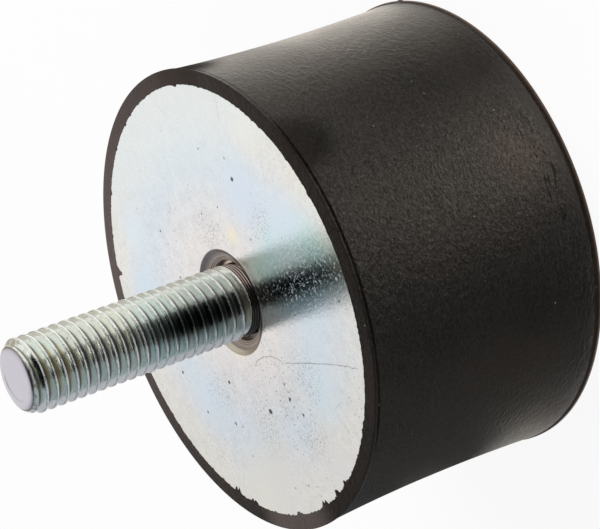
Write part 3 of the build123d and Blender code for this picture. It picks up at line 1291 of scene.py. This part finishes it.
@dataclass
class FrontPlate:
    """The stamped front disc with its countersunk recess round the stud."""

    segments: int = 256
    thickness: float = 3.0 * MM
    neck_height: float = 1.0 * MM
    edge_rounding: float = 0.5 * MM
    edge_gap: float = 0.02 * MM
    recess_width: float = 2.65 * MM
    wall_width: float = 0.6 * MM
    wall_depth: float = 0.55 * MM
    recess_depth: float = 1.15 * MM
    mouth_rounding: float = 0.22 * MM
    foot_rounding: float = 0.20 * MM
    relief: float = 0.55 * MM
    neck_step: float = 0.3 * MM
    ridges: int = 3
    ridge_height: float = 0.03 * MM
    ridged_share: float = 0.55

    def __post_init__(self) -> None:
        """Takes the plate's place and radius from the solid model."""
        self.radius = node_radius("front_plate")
        self.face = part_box("front_plate")[1][2]
        self.stud_radius = mount_size("stud", "r_mm")
        self.mouth = self.stud_radius + self.recess_width
        self.foot = self.stud_radius + self.relief

    def recess_outline(self) -> Outline:
        """Returns the recess from its mouth down to the relief round the stud.

        Returns:
            The outline's points.
        """
        floor = self.mouth - self.wall_width
        outline = rounded_outline([
            Corner(self.mouth + 1.0 * MM, self.face),
            Corner(self.mouth, self.face, self.mouth_rounding),
            Corner(floor, self.face - self.wall_depth, self.foot_rounding),
            Corner(self.foot, self.face - self.recess_depth),
        ])[:-1]
        steps = self.ridges * 4
        for step in range(steps):
            share = 1 - self.ridged_share * (1 - (step + 1) / steps)
            radius = floor + (self.foot - floor) * share
            level = self.face - self.wall_depth - (self.recess_depth - self.wall_depth) * share
            lift = self.ridge_height * math.sin(step * math.pi / 2)
            outline.append((radius, level + lift))
        return outline

    def build(self) -> bpy.types.Object:
        """Builds the plate as one closed mesh.

        Returns:
            The new object.
        """
        neck = self.stud_radius + self.neck_step
        back = self.face - self.thickness
        surface = RingSurface(self.segments)
        surface.add_outline(rounded_outline([
            Corner(neck, back),
            Corner(self.radius, back, self.edge_rounding),
            Corner(self.radius, self.face),
        ]))
        surface.add_outline([(self.radius - self.edge_gap, self.face)])
        surface.add_outline(self.recess_outline())
        surface.add_outline([(self.foot, back + self.neck_height),
                             (neck, back + self.neck_height)])
        piece = surface.build("front_disc", Face.LOOP)
        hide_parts("front_plate")
        return piece

    def dress(self, piece: bpy.types.Object) -> None:
        """Gives the plate its pale zinc finish.

        Args:
            piece: The plate's object.
        """
        piece.data.materials.append(PlateFinish(self.face, self.mouth).material())
        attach(piece, BODY)


@dataclass
class RubberBody:
    """The moulded rubber block with its lips, grooves and ragged flash.

    A nick in the flash is (turn in degrees, depth in mm, width in degrees), and a wave of its
    ragged edge is (waves for each radian, height in mm). Each groove is filled round
    +X up to the first angle of groove_fade, open from its second angle to the first one of
    far_fade, and partly filled again past the second one of that.
    """

    segments: int = 960
    lip_height: float = 0.45 * MM
    lip_rounding: float = 0.12 * MM
    ring_width: float = 0.8 * MM
    groove_width: float = 0.5 * MM
    groove_depth: float = 0.4 * MM
    groove_ramp: float = 0.15 * MM
    groove_rounding: float = 0.1 * MM
    side_step: float = 0.2 * MM
    side_lead: Span = (0.04 * MM, 0.3 * MM)
    waist_depth: float = 0.6 * MM
    plate_thickness: float = 3.0 * MM
    side_rows: int = 44
    row_swing: float = 0.06
    unevenness_depth: float = 0.05 * MM
    flash_start: float = 0.004 * MM
    flash_lift: float = 0.035 * MM
    flash_crest: float = 0.86
    flash_root: Span = (0.35 * MM, 0.6)
    flash_mean: float = 0.06
    flash_waves: tuple[Span, ...] = ((55.0, 0.13), (150.0, 0.17), (330.0, 0.12))
    seat_gap: float = 0.02 * MM
    back_flash_depth: float = 0.05 * MM
    flare_height: float = 0.12 * MM
    flare_reach: float = 2.2 * MM
    flare_spread: float = 0.42
    groove_fade: Span = (38.0, 62.0)
    groove_fill: float = 0.85
    far_fade: Span = (128.0, 144.0)
    far_fill: float = 0.60
    nicks: tuple[Place, ...] = (
        (71.6, 1.05, 1.1), (147.1, 0.75, 1.3), (154.5, 0.45, 1.6), (177.4, 0.55, 1.2),
        (191.6, 0.70, 1.5), (199.8, 0.75, 1.0), (205.7, 0.55, 1.2), (48.0, 0.35, 0.8),
    )
    nub_turn: float = -13.0
    nub_height: float = 0.45 * MM
    nub_spread: float = 0.012
    nub_reach: float = 0.8 * MM

    def __post_init__(self) -> None:
        """Takes the block's place and radii from the solid model."""
        self.rim = node_radius("rubber_body")
        self.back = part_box("rubber_body")[0][2]
        self.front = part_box("rubber_body")[1][2]
        self.plate = node_radius("front_plate")
        self.head = node_radius("front_stud")
        self.head_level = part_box("front_stud")[0][2]
        self.flange = node_radius("back_insert")
        self.bush_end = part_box("back_insert")[1][2]
        self.wall = self.rim - self.side_step

    def side_outline(self) -> Outline:
        """Returns the waisted side wall from the front groove to the back groove.

        Returns:
            The outline's points.
        """
        end = self.lip_height + self.groove_width + self.groove_ramp
        low, high = self.back + end, self.front - end
        outline: Outline = []
        for row in range(self.side_rows + 1):
            share = row / self.side_rows
            swing = self.row_swing * math.sin(4 * math.pi * share) / (2 * math.pi)
            level = high + (low - high) * (share - swing)
            across = 2 * (level - low) / (high - low) - 1
            outline.append((self.wall - self.waist_depth * (1 - across ** 2), level))
        return outline

    def rim_outline(self, end: float, inward: int) -> Outline:
        """Returns one end's lip and groove, from the flat ring out to the side wall.

        Args:
            end: Height of that end face.
            inward: +1 if the block lies above it, -1 if below.

        Returns:
            The outline's points.
        """
        lip = end + inward * self.lip_height
        floor = self.wall - self.groove_depth
        far = lip + inward * self.groove_width
        drawn_in, past = self.side_lead
        return rounded_outline([
            Corner(self.rim - self.ring_width, end),
            Corner(self.rim, end, self.lip_rounding),
            Corner(self.rim, lip, self.lip_rounding),
            Corner(floor, lip, self.groove_rounding),
            Corner(floor, far, self.groove_rounding),
            Corner(self.wall, far + inward * self.groove_ramp, self.groove_rounding),
            Corner(self.wall - drawn_in, far + inward * (self.groove_ramp + past)),
        ], steps=4)[:-1]

    def in_groove(self, level: float) -> bool:
        """Returns whether that height lies in one of the two grooves."""
        return min(level - self.back, self.front - level) > self.lip_height * 0.9

    def filled(self, angles: np.ndarray) -> np.ndarray:
        """Gives how far the grooves are filled, most near +X and some near -X.

        Args:
            angles: The angles round the axis.

        Returns:
            The filled share of the depth at each angle, from 0 to 1.
        """
        turn = np.degrees(np.abs((angles + math.pi) % (2 * math.pi) - math.pi))
        near, far = self.groove_fade
        share = np.clip((far - turn) / (far - near), 0.0, 1.0)
        start, end = self.far_fade
        other = np.clip((turn - start) / (end - start), 0.0, 1.0)
        return self.groove_fill * eased(share) + self.far_fill * eased(other)

    def unevenness(self, angles: np.ndarray, level: float) -> np.ndarray:
        """Gives the soft swell of the moulded wall.

        Args:
            angles: The angles round the axis.
            level: The height.

        Returns:
            How far the wall stands out at each angle, in metres.
        """
        return np.array([
            noise.noise(Vector((math.cos(angle) * 1.6, math.sin(angle) * 1.6, level * 55.0)))
            for angle in angles
        ]) * self.unevenness_depth

    def flare(self, angles: np.ndarray, level: float) -> np.ndarray:
        """Gives how far the back end flares out near the +X side, with its small nub.

        Args:
            angles: The angles round the axis.
            level: The height.

        Returns:
            How far the wall stands out at each angle, in metres.
        """
        turn = (angles + math.pi) % (2 * math.pi) - math.pi
        above = level - self.back
        patch = np.exp(-(turn / self.flare_spread) ** 2)
        nub = np.exp(-((turn - math.radians(self.nub_turn)) / self.nub_spread) ** 2)
        return (self.flare_height * patch * max(0.0, 1 - above / self.flare_reach) ** 2
                + self.nub_height * nub * max(0.0, 1 - above / self.nub_reach))

    def flash(self, angles: np.ndarray) -> np.ndarray:
        """Gives how far the ragged rubber flash laps over the plate's edge.

        Args:
            angles: The angles round the axis.

        Returns:
            The flash's reach at each angle, in metres.
        """
        reach = []
        for angle in angles:
            spot = Vector((math.cos(angle), math.sin(angle), 0.0))
            rough = 0.75 + 0.9 * max(0.0, -math.cos(angle)) ** 2
            ragged = sum(noise.noise(spot * waves) * height
                         for waves, height in self.flash_waves)
            nick = max(0.0, noise.noise(spot * 28.0 + Vector((7.0, 3.0, 0.0))) - 0.30) * 0.8
            shape = 1.0 + 1.2 * noise.noise(spot * 95.0)
            for turn, depth, width in self.nicks:
                off = (math.degrees(angle) - turn + 180.0) % 360.0 - 180.0
                nick += depth * shape * math.exp(-(off / width) ** 4)
            reach.append(max(0.0, self.flash_mean + ragged * rough + nick))
        return np.array(reach) * MM

    def add_rim(self, surface: RingSurface, outline: Outline, flared: bool) -> None:
        """Adds one end's rings, with its groove part filled on the +X side.

        Args:
            surface: The skin that gets them.
            outline: The rim's points.
            flared: Whether this end flares out.
        """
        angles = surface.angles
        for radius, level in outline:
            bulge = self.unevenness(angles, level)
            if flared:
                bulge = bulge + self.flare(angles, level)
            if self.in_groove(level):
                bulge = bulge + max(0.0, self.wall - radius) * self.filled(angles)
            surface.add(radius + bulge, level)

    def build(self) -> bpy.types.Object:
        """Builds the block as one closed mesh, hollow where the steel pieces sit.

        Returns:
            The new object.
        """
        surface = RingSurface(self.segments)
        angles = surface.angles
        seat = self.front - self.plate_thickness
        surface.add_outline([(0.0, self.head_level), (self.head, self.head_level),
                             (self.head, seat), (self.plate, seat),
                             (self.plate, self.front - self.seat_gap)])
        flash = self.flash(angles)
        root_width, root_share = self.flash_root
        surface.add(self.plate - flash, self.front + self.flash_start)
        surface.add(self.plate - flash * self.flash_crest, self.front + self.flash_lift)
        surface.add(self.plate + root_width, self.front + self.flash_lift * root_share)
        self.add_rim(surface, self.rim_outline(self.front, -1), False)
        for radius, level in self.side_outline():
            surface.add(radius + self.unevenness(angles, level) + self.flare(angles, level),
                        level)
        self.add_rim(surface, self.rim_outline(self.back, 1)[::-1], True)
        back_seat = self.back + self.plate_thickness
        surface.add(self.plate - self.flash(angles[::-1]), self.back)
        surface.add_outline([(self.plate, self.back + self.back_flash_depth),
                             (self.plate, back_seat), (self.flange, back_seat),
                             (self.flange, self.bush_end), (0.0, self.bush_end)])
        piece = surface.build("moulded_block", Face.OPEN, sharp_degrees=50.0)
        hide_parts("rubber_body")
        return piece

    def dress(self, piece: bpy.types.Object) -> None:
        """Gives the block its satin black rubber.

        Args:
            piece: The block's object.
        """
        piece.data.materials.append(RubberFinish(self.back, self.front).material())
        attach(piece, BODY)


@dataclass
class BackEnd:
    """The back disc and the threaded bush in it."""

    segments: int = 112
    mouth_chamfer: float = 1.0 * MM
    mouth_land: float = 0.3 * MM
    flange_step: float = 2.0 * MM
    flange_height: float = 2.0 * MM
    edge_rounding: float = 0.3 * MM
    end_rounding: float = 1.0 * MM
    bore_depth: float = 12.0 * MM
    drill_point: float = 2.0 * MM
    thread_depth: float = 0.95 * MM
    runout_slope: float = 1.2

    def __post_init__(self) -> None:
        """Takes the bush's place and radii from the solid model."""
        self.flange = node_radius("back_insert")
        self.bush = self.flange - self.flange_step
        self.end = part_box("back_insert")[1][2]
        self.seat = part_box("back_plate")[1][2]
        self.bore = mount_size("threaded_insert", "r_mm")
        self.thread = IsoThread(depth=self.thread_depth)

    def build(self) -> bpy.types.Object:
        """Builds the bush as one closed mesh with a helical inner thread.

        Returns:
            The new object.
        """
        surface = RingSurface(self.segments)
        surface.add_outline([(0.0, self.bore_depth + self.drill_point)])
        rows = int(round(self.bore_depth / self.thread.pitch * self.thread.rows))
        for row in range(rows + 1):
            level = self.bore_depth * (1 - row / rows)
            radius = self.bore + self.thread.depth - self.thread.drop(
                self.thread.phase(level, surface.angles))
            mouth = self.bore + self.mouth_chamfer - level
            blind_end = self.bore + (self.bore_depth - level) * self.runout_slope
            surface.add(np.maximum(np.minimum(radius, blind_end), mouth), level)
        flange_top = self.seat + self.flange_height
        surface.add_outline(rounded_outline([
            Corner(self.bore + self.mouth_chamfer + self.mouth_land, 0.0),
            Corner(self.bush, 0.0, self.edge_rounding),
            Corner(self.bush, self.seat),
            Corner(self.flange, self.seat),
            Corner(self.flange, flange_top, self.edge_rounding),
            Corner(self.bush, flange_top),
            Corner(self.bush, self.end, self.end_rounding),
            Corner(0.0, self.end),
        ]))
        piece = surface.build("threaded_bush", Face.OPEN)
        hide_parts("back_insert")
        return piece

    def dress(self, piece: bpy.types.Object) -> None:
        """Gives the bush and the back disc their zinc finishes.

        Args:
            piece: The bush's object.
        """
        bush, tint = ZincFinish("insert_zinc", (0.66, 0.69, 0.68), (0.58, 0.66, 0.68),
                                (0.74, 0.71, 0.56), 0.20, grime=0.5).surface()
        bush.feed("Base Color", tint)
        piece.data.materials.append(bush.material)
        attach(piece, BODY)
        disc, tint = ZincFinish("back_plate_zinc", (0.76, 0.78, 0.79), (0.69, 0.76, 0.83),
                                (0.82, 0.78, 0.68), 0.25).surface()
        disc.feed("Base Color", tint)
        back_plate = frame["nodes"]["back_plate"]
        back_plate.data.materials.clear()
        back_plate.data.materials.append(disc.material)


@dataclass(frozen=True)
class SoftBox:
    """A square lamp that is aimed at the middle of the mount."""

    name: str
    place: Place
    size: float
    power: float

    def hang(self) -> None:
        """Adds the lamp to the scene."""
        data = bpy.data.lights.new(self.name, "AREA")
        data.size = self.size
        data.energy = self.power
        lamp = bpy.data.objects.new(self.name, data)
        lamp.location = self.place
        lamp.visible_glossy = False
        lamp.rotation_mode = "QUATERNION"
        aim = Vector((0.0, 0.0, 0.03)) - Vector(self.place)
        lamp.rotation_quaternion = aim.to_track_quat("-Z", "Y")
        bpy.context.scene.collection.objects.link(lamp)


@dataclass
class Studio:
    """White floor, soft lights, dark cards and the camera."""

    floor_size: float = 6.0
    floor_drop: float = 0.1 * MM
    floor_whiteness: float = 0.86
    floor_glow: float = 0.9
    world_light: float = 0.45
    world_seen: float = 1.0
    dome_radius: float = 0.9
    dome_lift: float = 0.06
    sector_steps: int = 12
    ring_steps: int = 72
    disc_steps: int = 32
    elevation: float = 30.26
    roll: float = 109.59
    lens: float = 155.25
    sensor: float = 36.0
    ahead: float = 402.74 * MM
    aside: float = -10.86 * MM
    below: float = 5.91 * MM
    black: Colour = (0.006, 0.007, 0.007)
    veil: Colour = (0.36, 0.38, 0.39)
    grey: Colour = (0.33, 0.39, 0.44)
    pale: Colour = (0.52, 0.51, 0.57)
    beige: Colour = (0.60, 0.57, 0.52)
    far_floor: Colour = (0.34, 0.32, 0.30)
    ring_warmth: Colour = (1.0, 0.94, 0.85)
    softboxes: tuple[SoftBox, ...] = (
        SoftBox("main_softbox", (0.75, 0.15, 0.55), 0.6, 7.0),
        SoftBox("fill_softbox", (-0.6, -0.5, 0.7), 0.6, 2.0),
    )

    def build(self) -> None:
        """Sets the whole stage."""
        self.add_world()
        self.add_floor()
        self.add_cards()
        for softbox in self.softboxes:
            softbox.hang()
        self.add_camera()
        bpy.context.scene.view_settings.view_transform = "Standard"

    def seen_directly(self, tree: bpy.types.NodeTree) -> Socket:
        """Tells the rays that show a surface itself, straight or in metal, from its light.

        Args:
            tree: The node tree that asks.

        Returns:
            A value that is 1 for those rays and 0 for the others.
        """
        path = tree.nodes.new("ShaderNodeLightPath")
        total = path.outputs["Is Camera Ray"]
        for name in ("Is Glossy Ray", "Is Transmission Ray"):
            either = tree.nodes.new("ShaderNodeMath")
            either.operation = Operation.MAXIMUM.value
            tree.links.new(total, either.inputs[0])
            tree.links.new(path.outputs[name], either.inputs[1])
            total = either.outputs[0]
        return total

    def add_world(self) -> None:
        """Makes a world that is white to look at and a plain grey light."""
        world = bpy.data.worlds.new("studio")
        bpy.context.scene.world = world
        world.use_nodes = True
        tree = world.node_tree
        tree.nodes.clear()
        output = tree.nodes.new("ShaderNodeOutputWorld")
        blend = tree.nodes.new("ShaderNodeMixShader")
        for index, strength in ((1, self.world_light), (2, self.world_seen)):
            light = tree.nodes.new("ShaderNodeBackground")
            light.inputs["Color"].default_value = (1.0, 1.0, 1.0, 1.0)
            light.inputs["Strength"].default_value = strength
            tree.links.new(light.outputs["Background"], blend.inputs[index])
        tree.links.new(self.seen_directly(tree), blend.inputs["Fac"])
        tree.links.new(blend.outputs["Shader"], output.inputs["Surface"])

    def add_sheet(self, name: str, faces: list[list[Place]]) -> bpy.types.Object:
        """Adds a sheet of the stage.

        Args:
            name: The sheet's name.
            faces: Corners of each of its faces.

        Returns:
            The sheet.
        """
        corners = [corner for face in faces for corner in face]
        rims, start = [], 0
        for face in faces:
            rims.append(tuple(range(start, start + len(face))))
            start += len(face)
        mesh = bpy.data.meshes.new(name)
        mesh.from_pydata(corners, [], rims)
        sheet = bpy.data.objects.new(name, mesh)
        bpy.context.scene.collection.objects.link(sheet)
        return sheet

    def add_floor(self) -> None:
        """Makes the white floor that keeps a soft shadow."""
        half, low = self.floor_size / 2, -self.floor_drop
        floor = self.add_sheet("floor", [[(-half, -half, low), (half, -half, low),
                                          (half, half, low), (-half, half, low)]])
        graph = Graph("white_floor")
        graph.set("Base Color", (*[self.floor_whiteness] * 3, 1.0))
        graph.set("Roughness", 0.9)
        glow = graph.node("ShaderNodeEmission")
        glow.inputs["Color"].default_value = (1.0, 1.0, 1.0, 1.0)
        glow.inputs["Strength"].default_value = 1.0
        blend = graph.node("ShaderNodeMixShader")
        share = graph.times(self.seen_directly(graph.tree), self.floor_glow)
        graph.join(share, blend.inputs["Fac"])
        graph.join(graph.shader.outputs["BSDF"], blend.inputs[1])
        graph.join(glow.outputs["Emission"], blend.inputs[2])
        graph.join(blend.outputs["Shader"], graph.output.inputs["Surface"])
        floor.data.materials.append(graph.material)

    def add_card(self, name: str, faces: list[list[Place]], shade: Colour,
                 deep: Colour | None = None) -> Graph:
        """Adds a card that only reflections show.

        Args:
            name: The card's name.
            faces: Corners of each of its faces.
            shade: How bright it is.
            deep: How bright it is in a reflection of a reflection, if that differs.

        Returns:
            The card's material graph.
        """
        card = self.add_sheet(name, faces)
        card.visible_camera = False
        card.visible_shadow = False
        card.visible_diffuse = False
        graph = Graph(name)
        glow = graph.node("ShaderNodeEmission")
        glow.inputs["Color"].default_value = (*shade, 1.0)
        if deep is not None:
            path = graph.node("ShaderNodeLightPath")
            twice = graph.math(Operation.GREATER_THAN, path.outputs["Glossy Depth"], 1.5)
            graph.join(graph.mix(twice, shade, deep), glow.inputs["Color"])
        graph.join(glow.outputs["Emission"], graph.output.inputs["Surface"])
        card.data.materials.append(graph.material)
        return graph

    def on_floor(self, radius: float, turn: float) -> Place:
        """Returns the floor's point at that radius and angle, from -Y towards +X."""
        return (radius * math.sin(turn), -radius * math.cos(turn), 0.0)

    def floor_card(self, name: str, turns: Span, reach: Span, shade: Colour) -> None:
        """Lays a card on the floor as a ring sector.

        Args:
            name: The card's name.
            turns: Angles where it starts and ends, in degrees from -Y towards +X.
            reach: Inner and outer radius.
            shade: How bright it is.
        """
        edge = [math.radians(turns[0] + (turns[1] - turns[0]) * step / self.sector_steps)
                for step in range(self.sector_steps + 1)]
        inner = [self.on_floor(reach[0], turn) for turn in edge]
        outer = [self.on_floor(reach[1], turn) for turn in edge]
        self.add_card(name, [inner + outer[::-1]], shade)

    def ring_card(self, name: str, reach: Span, shades: dict[float, float]) -> None:
        """Lays a ring round the mount whose brightness changes with the angle.

        Args:
            name: The card's name.
            reach: Inner and outer radius.
            shades: Brightness at angles in degrees from -Y towards +X, in order.
        """
        edge = [2 * math.pi * step / self.ring_steps for step in range(self.ring_steps + 1)]
        faces = [[self.on_floor(reach[0], start), self.on_floor(reach[1], start),
                  self.on_floor(reach[1], end), self.on_floor(reach[0], end)]
                 for start, end in zip(edge, edge[1:])]
        graph = self.add_card(name, faces, (1.0, 1.0, 1.0))
        split = graph.node("ShaderNodeSeparateXYZ")
        graph.join(graph.place, split.inputs["Vector"])
        turn = graph.math(Operation.ARCTAN2, split.outputs["X"],
                          graph.times(split.outputs["Y"], -1.0))
        share = graph.plus(graph.math(Operation.DIVIDE, turn, 2 * math.pi), 0.5)
        top = max(shades.values())
        stops = [(0.5 + angle / 360.0,
                  tuple(value / top * channel for channel in self.ring_warmth))
                 for angle, value in shades.items()]
        glow = graph.output.inputs["Surface"].links[0].from_node
        graph.join(graph.ramp(share, stops), glow.inputs["Color"])
        glow.inputs["Strength"].default_value = top

    def dome_card(self, name: str, turns: list[Span], rises: Span, shade: Colour,
                  deep: Colour | None = None) -> None:
        """Hangs a card as a patch of a dome.

        Args:
            name: The card's name.
            turns: Start and end angle of the patch at each of its heights, evenly spaced,
                in degrees from -Y towards +X.
            rises: Elevation of its lower and upper edge, in degrees.
            shade: How bright it is.
            deep: How bright it is in a reflection of a reflection, if that differs.
        """
        grid = []
        for row, (start, end) in enumerate(turns):
            rise = math.radians(rises[0] + (rises[1] - rises[0]) * row / (len(turns) - 1))
            line = []
            for column in range(self.sector_steps + 1):
                turn = math.radians(start + (end - start) * column / self.sector_steps)
                flat = self.dome_radius * math.cos(rise)
                line.append((flat * math.sin(turn), -flat * math.cos(turn),
                             self.dome_radius * math.sin(rise) + self.dome_lift))
            grid.append(line)
        faces = [[lower[column], lower[column + 1], upper[column + 1], upper[column]]
                 for lower, upper in zip(grid, grid[1:])
                 for column in range(self.sector_steps)]
        self.add_card(name, faces, shade, deep)

    def disc_card(self, name: str, centre: Place, radius: float, shade: Colour) -> None:
        """Hangs a flat round card above the mount.

        Args:
            name: The card's name.
            centre: Its centre.
            radius: Its radius.
            shade: How bright it is.
        """
        turns = [2 * math.pi * step / self.disc_steps for step in range(self.disc_steps)]
        rim = [(centre[0] + radius * math.cos(turn), centre[1] + radius * math.sin(turn),
                centre[2]) for turn in turns]
        self.add_card(name, [rim], shade)

    def add_cards(self) -> None:
        """Sets the dark and grey cards that the metal and the rubber reflect."""
        self.dome_card("dark_low", [(-56, 34), (-56, 34)], (-3.0, 9.0), self.black)
        self.dome_card("veiled_arch", [(-56, 34), (-56, 34), (-58, 40)], (9.0, 48.0),
                       self.veil, self.black)
        self.dome_card("dark_high", [(-60, 42), (-70, 56), (-90, 90)], (48.0, 76.0),
                       self.black)
        self.disc_card("dark_disc", (-0.002, -0.002, 0.099), 0.0105, self.black)
        self.dome_card("grey_side", [(-140, -57), (-140, -57), (-140, -60), (-140, -68)],
                       (-3.0, 62.0), self.grey)
        self.floor_card("grey_floor", (-150.0, -42.0), (0.108, 0.80), self.grey)
        self.floor_card("black_floor", (-42.0, 32.0), (0.108, 0.132), self.black)
        self.floor_card("black_distance", (-42.0, 32.0), (0.150, 0.95), self.black)
        self.floor_card("far_floor", (150.0, 210.0), (0.108, 0.20), self.far_floor)
        self.dome_card("pale_side", [(-166, -140), (-166, -140)], (-3.0, 62.0), self.pale)
        self.dome_card("beige_side", [(139, 166), (139, 166)], (-3.0, 62.0), self.beige)
        self.ring_card("outer_ring", (0.064, 0.108), {
            -180: 0.60, -150: 0.16, -120: 0.06, -100: 0.09, -80: 0.09, -60: 0.06, -44: 0.0,
            -20: 0.0, 0: 0.84, 18: 2.05, 34: 0.42, 46: 0.02, 62: 0.02, 76: 0.24, 90: 0.66,
            104: 1.25, 118: 1.6, 134: 0.9, 155: 0.5, 180: 0.60,
        })
        self.ring_card("middle_ring", (0.046, 0.063), {
            -180: 0.60, -110: 0.08, -96: 0.12, -83: 0.17, -69: 0.14, -55: 0.10, -42: 0.05,
            -27: 0.0, -12: 0.0, 0: 0.84, 14: 1.8, 27: 0.74, 40: 0.12, 56: 0.04, 70: 0.50,
            83: 1.30, 96: 2.2, 112: 2.2, 130: 1.2, 155: 0.6, 180: 0.60,
        })
        self.ring_card("inner_ring", (0.0385, 0.045), {
            -180: 0.60, -130: 0.60, -97: 1.0, -85: 0.90, -73: 0.42, -61: 0.24, -49: 0.12,
            -37: 0.08, -24: 0.0, -12: 0.0, 0: 0.70, 12: 1.8, 25: 1.1, 37: 0.22, 50: 0.26,
            61: 0.98, 73: 1.45, 85: 2.3, 97: 2.4, 125: 1.2, 155: 0.6, 180: 0.60,
        })

    def add_camera(self) -> None:
        """Places the camera from its angles and from where the plate's centre lies before it."""
        slope, turn = math.radians(self.elevation), math.radians(self.roll)
        forward = Vector((0.0, math.cos(slope), -math.sin(slope)))
        level_right = Vector((1.0, 0.0, 0.0))
        level_up = level_right.cross(forward)
        right = level_right * math.cos(turn) - level_up * math.sin(turn)
        up = level_right * math.sin(turn) + level_up * math.cos(turn)
        plate_centre = Vector((0.0, 0.0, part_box("front_plate")[1][2]))
        place = plate_centre - right * self.aside + up * self.below - forward * self.ahead
        data = bpy.data.cameras.new("camera")
        data.lens = self.lens
        data.sensor_width = self.sensor
        data.clip_start, data.clip_end = 0.01, 20.0
        camera = bpy.data.objects.new("camera", data)
        turned = Matrix((right, up, -forward)).transposed().to_4x4()
        camera.matrix_world = Matrix.Translation(place) @ turned
        bpy.context.scene.collection.objects.link(camera)
        bpy.context.scene.camera = camera


def main() -> None:
    """Builds and dresses every piece, then sets the stage."""
    for piece_class in (RubberBody, FrontPlate, Stud, BackEnd):
        maker = piece_class()
        piece = maker.build()
        maker.dress(piece)
        log.info("%s: %d faces", piece.name, len(piece.data.polygons))
    Studio().build()


if __name__ == "__main__":
    logging.basicConfig(level=logging.INFO)
    main()
